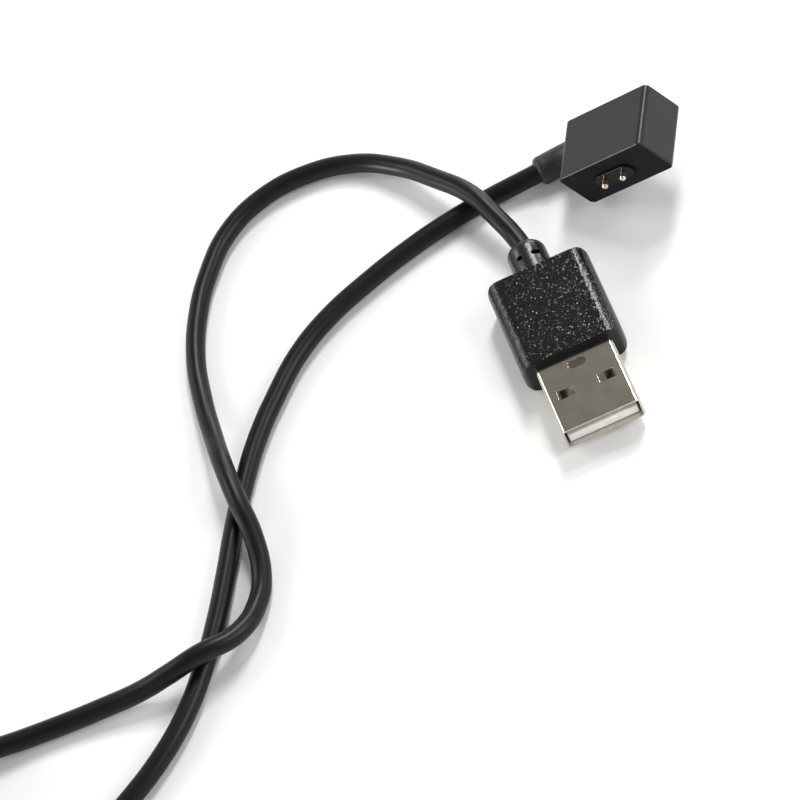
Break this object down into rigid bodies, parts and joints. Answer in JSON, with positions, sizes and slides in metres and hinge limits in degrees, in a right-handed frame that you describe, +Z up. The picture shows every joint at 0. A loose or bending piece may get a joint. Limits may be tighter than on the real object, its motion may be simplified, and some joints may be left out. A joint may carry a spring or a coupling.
{
  "type": "fitness tracker charging cable",
  "caption": "Magnetic fitness tracker charging cable: a tilted black charging head with sprung gold contacts, a thin round cord in loose bends and a USB-A plug with a grained grip.",
  "frame": {"origin": "centre of the charging head's footprint on the table, cord and plug left out", "axes": "+X level along the head away from its cord, -Y the way the contacts face, +Z up"},
  "size_m": [0.1234, 0.1427, 0.0155],
  "materials": {
    "head_plastic": "fine satin black moulded plastic",
    "block_plastic": "smooth black liquid-crystal polymer",
    "brass": "turned brass",
    "gold_plate": "pale gold plating",
    "spring_steel": "drawn stainless spring wire",
    "magnet_nickel": "nickel plating on a sintered magnet",
    "board_green": "green solder mask",
    "wire_red": "red PVC insulation",
    "wire_black": "black PVC insulation",
    "relief_rubber": "smooth satin black elastomer",
    "cord_jacket": "smooth black extruded jacket with a soft sheen",
    "tie_rubber": "dull black elastomer",
    "overmould_plastic": "fine spark-eroded grain on black PVC",
    "inner_plastic": "natural polyethylene",
    "shell_steel": "nickel-plated pressed steel",
    "tongue_plastic": "white PBT"
  },
  "bodies": {
    "cable": {"head_housing": "head_plastic", "head_back_cover": "head_plastic", "pogo_block": "block_plastic", "barrel_left": "brass", "barrel_right": "brass", "spring_left": "spring_steel", "spring_right": "spring_steel", "magnet_left": "magnet_nickel", "magnet_right": "magnet_nickel", "head_circuit_board": "board_green", "head_wire_red": "wire_red", "head_wire_black": "wire_black", "head_strain_relief": "relief_rubber", "cord_head_side": "cord_jacket", "cord_plug_side": "cord_jacket", "cord_coil": "cord_jacket", "coil_tie": "tie_rubber", "plug_overmould": "overmould_plastic", "plug_strain_relief": "relief_rubber", "plug_inner_mould": "inner_plastic", "usb_shell": "shell_steel", "usb_tongue": "tongue_plastic", "usb_contact_1": "gold_plate", "usb_contact_2": "gold_plate", "usb_contact_3": "gold_plate", "usb_contact_4": "gold_plate", "plug_wire_red": "wire_red", "plug_wire_black": "wire_black"},
    "plunger_l": {"plunger_left": "gold_plate"},
    "plunger_r": {"plunger_right": "gold_plate"}
  },
  "joints": [
    {"name": "plunger_left_slide", "type": "slide", "parent": "cable", "child": "plunger_l", "axis": [0, 1, 0], "range_m": [0, 0.0012], "stiffness_N_per_m": 500, "springref_m": -0.0004, "deforming": ["spring_left"]},
    {"name": "plunger_right_slide", "type": "slide", "parent": "cable", "child": "plunger_r", "axis": [0, 1, 0], "range_m": [0, 0.0012], "stiffness_N_per_m": 500, "springref_m": -0.0004, "deforming": ["spring_right"]}
  ]
}
